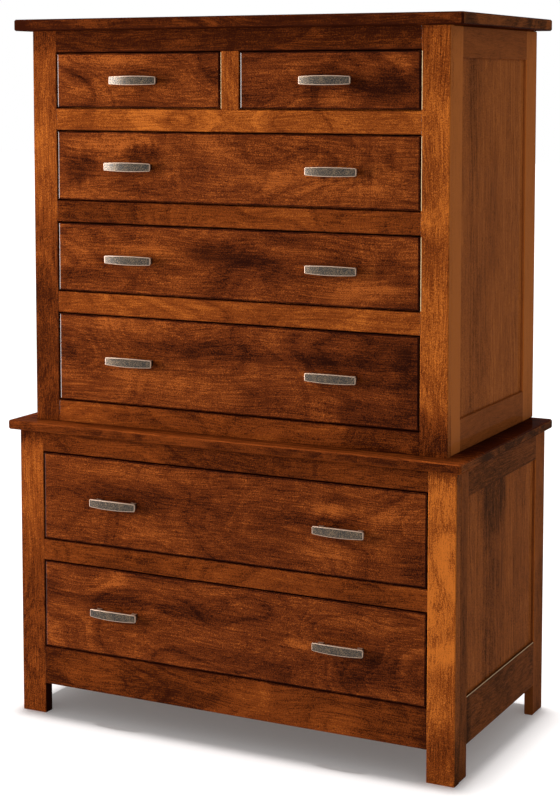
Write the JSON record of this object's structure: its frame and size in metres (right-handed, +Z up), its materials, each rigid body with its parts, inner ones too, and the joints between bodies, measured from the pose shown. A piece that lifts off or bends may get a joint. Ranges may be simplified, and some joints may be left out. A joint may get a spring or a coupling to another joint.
{
  "type": "chest on chest",
  "caption": "Tall two-part wooden chest: an upper case of inset drawers on a wider legged base, with panelled sides, bowed metal pulls and dovetailed drawers that slide out.",
  "frame": {"origin": "on the floor at the middle of the whole part's footprint, pulls included", "axes": "+X to the right seen from the front, +Y to the back, +Z up; the drawers open towards -Y"},
  "size_m": [1.168, 0.612, 1.6777],
  "materials": {
    "face_stile": "stained brown maple, upright grain, semi-gloss lacquer",
    "face_rail": "stained brown maple, level grain, semi-gloss lacquer",
    "drawer_front": "stained brown maple, figured, semi-gloss lacquer",
    "case_side": "stained brown maple, satin lacquer",
    "top_board": "stained brown maple, semi-gloss lacquer",
    "drawer_box": "clear-coated maple",
    "plywood": "clear-coated plywood",
    "pewter": "antique pewter, mottled, rubbed bright along the edges"
  },
  "bodies": {
    "root": {"lower_stile_left": "face_stile", "lower_side_frame_left": "case_side", "lower_side_panel_left": "case_side", "lower_stile_right": "face_stile", "lower_side_frame_right": "case_side", "lower_side_panel_right": "case_side", "upper_stile_left": "face_stile", "upper_side_frame_left": "case_side", "upper_side_panel_left": "case_side", "upper_stile_right": "face_stile", "upper_side_frame_right": "case_side", "upper_side_panel_right": "case_side", "lower_apron_frame": "face_rail", "lower_middle_rail_frame": "face_rail", "lower_top_rail_frame": "face_rail", "upper_bottom_rail_frame": "face_rail", "upper_third_rail_frame": "face_rail", "upper_second_rail_frame": "face_rail", "upper_first_rail_frame": "face_rail", "upper_top_rail_frame": "face_rail", "lower_back_panel": "plywood", "upper_back_panel": "plywood", "upper_muntin": "face_stile", "upper_middle_guide": "drawer_box", "lower_top_board": "top_board", "upper_top_board": "top_board"},
    "sixth_drawer": {"sixth_drawer_front": "drawer_front", "sixth_drawer_box": "drawer_box", "sixth_drawer_bottom": "plywood", "sixth_drawer_pull_left": "pewter", "sixth_drawer_pull_right": "pewter"},
    "fifth_drawer": {"fifth_drawer_front": "drawer_front", "fifth_drawer_box": "drawer_box", "fifth_drawer_bottom": "plywood", "fifth_drawer_pull_left": "pewter", "fifth_drawer_pull_right": "pewter"},
    "fourth_drawer": {"fourth_drawer_front": "drawer_front", "fourth_drawer_box": "drawer_box", "fourth_drawer_bottom": "plywood", "fourth_drawer_pull_left": "pewter", "fourth_drawer_pull_right": "pewter"},
    "third_drawer": {"third_drawer_front": "drawer_front", "third_drawer_box": "drawer_box", "third_drawer_bottom": "plywood", "third_drawer_pull_left": "pewter", "third_drawer_pull_right": "pewter"},
    "second_drawer": {"second_drawer_front": "drawer_front", "second_drawer_box": "drawer_box", "second_drawer_bottom": "plywood", "second_drawer_pull_left": "pewter", "second_drawer_pull_right": "pewter"},
    "top_left_drawer": {"top_left_drawer_front": "drawer_front", "top_left_drawer_box": "drawer_box", "top_left_drawer_bottom": "plywood", "top_left_drawer_pull": "pewter"},
    "top_right_drawer": {"top_right_drawer_front": "drawer_front", "top_right_drawer_box": "drawer_box", "top_right_drawer_bottom": "plywood", "top_right_drawer_pull": "pewter"}
  },
  "joints": [
    {"name": "sixth_drawer_slide", "type": "slide", "parent": "root", "child": "sixth_drawer", "axis": [0, -1, 0], "range_m": [0, 0.42]},
    {"name": "fifth_drawer_slide", "type": "slide", "parent": "root", "child": "fifth_drawer", "axis": [0, -1, 0], "range_m": [0, 0.42]},
    {"name": "fourth_drawer_slide", "type": "slide", "parent": "root", "child": "fourth_drawer", "axis": [0, -1, 0], "range_m": [0, 0.4]},
    {"name": "third_drawer_slide", "type": "slide", "parent": "root", "child": "third_drawer", "axis": [0, -1, 0], "range_m": [0, 0.4]},
    {"name": "second_drawer_slide", "type": "slide", "parent": "root", "child": "second_drawer", "axis": [0, -1, 0], "range_m": [0, 0.4]},
    {"name": "top_left_drawer_slide", "type": "slide", "parent": "root", "child": "top_left_drawer", "axis": [0, -1, 0], "range_m": [0, 0.4]},
    {"name": "top_right_drawer_slide", "type": "slide", "parent": "root", "child": "top_right_drawer", "axis": [0, -1, 0], "range_m": [0, 0.4]}
  ]
}
